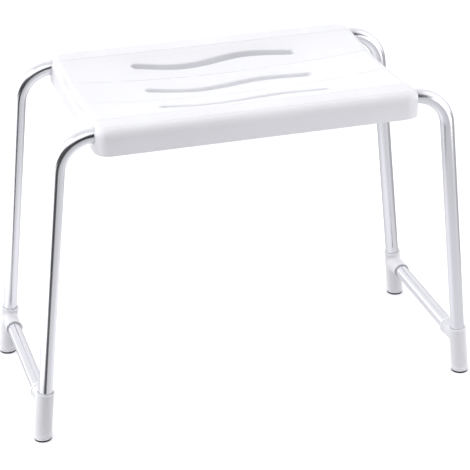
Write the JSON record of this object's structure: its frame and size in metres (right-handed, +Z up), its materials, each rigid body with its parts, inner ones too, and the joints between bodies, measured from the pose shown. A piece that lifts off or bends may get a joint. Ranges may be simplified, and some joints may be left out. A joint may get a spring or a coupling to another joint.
{
  "type": "shower stool",
  "caption": "Backless shower stool with a dished plastic seat cut by wavy drain slots, on splayed bent tube legs joined by low cross tubes in moulded sleeve feet.",
  "frame": {"origin": "on the floor, under the middle of the seat", "axes": "+Z up, +X along the seat's length to the right as one sits facing the front (-Y), +Y to the back"},
  "size_m": [0.6704, 0.316, 0.471],
  "materials": {
    "seat_plastic": "white, softly glossy moulded",
    "leg_tube": "satin anodised",
    "cross_tube": "satin anodised",
    "sleeve_plastic": "white, satin moulded",
    "pad_rubber": "matte black",
    "clip_plastic": "white, fine grained",
    "screw_steel": "zinc plated"
  },
  "bodies": {
    "root": {"seat_shell": "seat_plastic", "front_left_leg": "leg_tube", "front_left_sleeve": "sleeve_plastic", "front_left_pad": "pad_rubber", "front_left_clip": "clip_plastic", "rear_left_leg": "leg_tube", "rear_left_sleeve": "sleeve_plastic", "rear_left_pad": "pad_rubber", "rear_left_clip": "clip_plastic", "front_right_leg": "leg_tube", "front_right_sleeve": "sleeve_plastic", "front_right_pad": "pad_rubber", "front_right_clip": "clip_plastic", "rear_right_leg": "leg_tube", "rear_right_sleeve": "sleeve_plastic", "rear_right_pad": "pad_rubber", "rear_right_clip": "clip_plastic", "left_cross_tube": "cross_tube", "right_cross_tube": "cross_tube", "clip_screws": "screw_steel"}
  },
  "joints": []
}
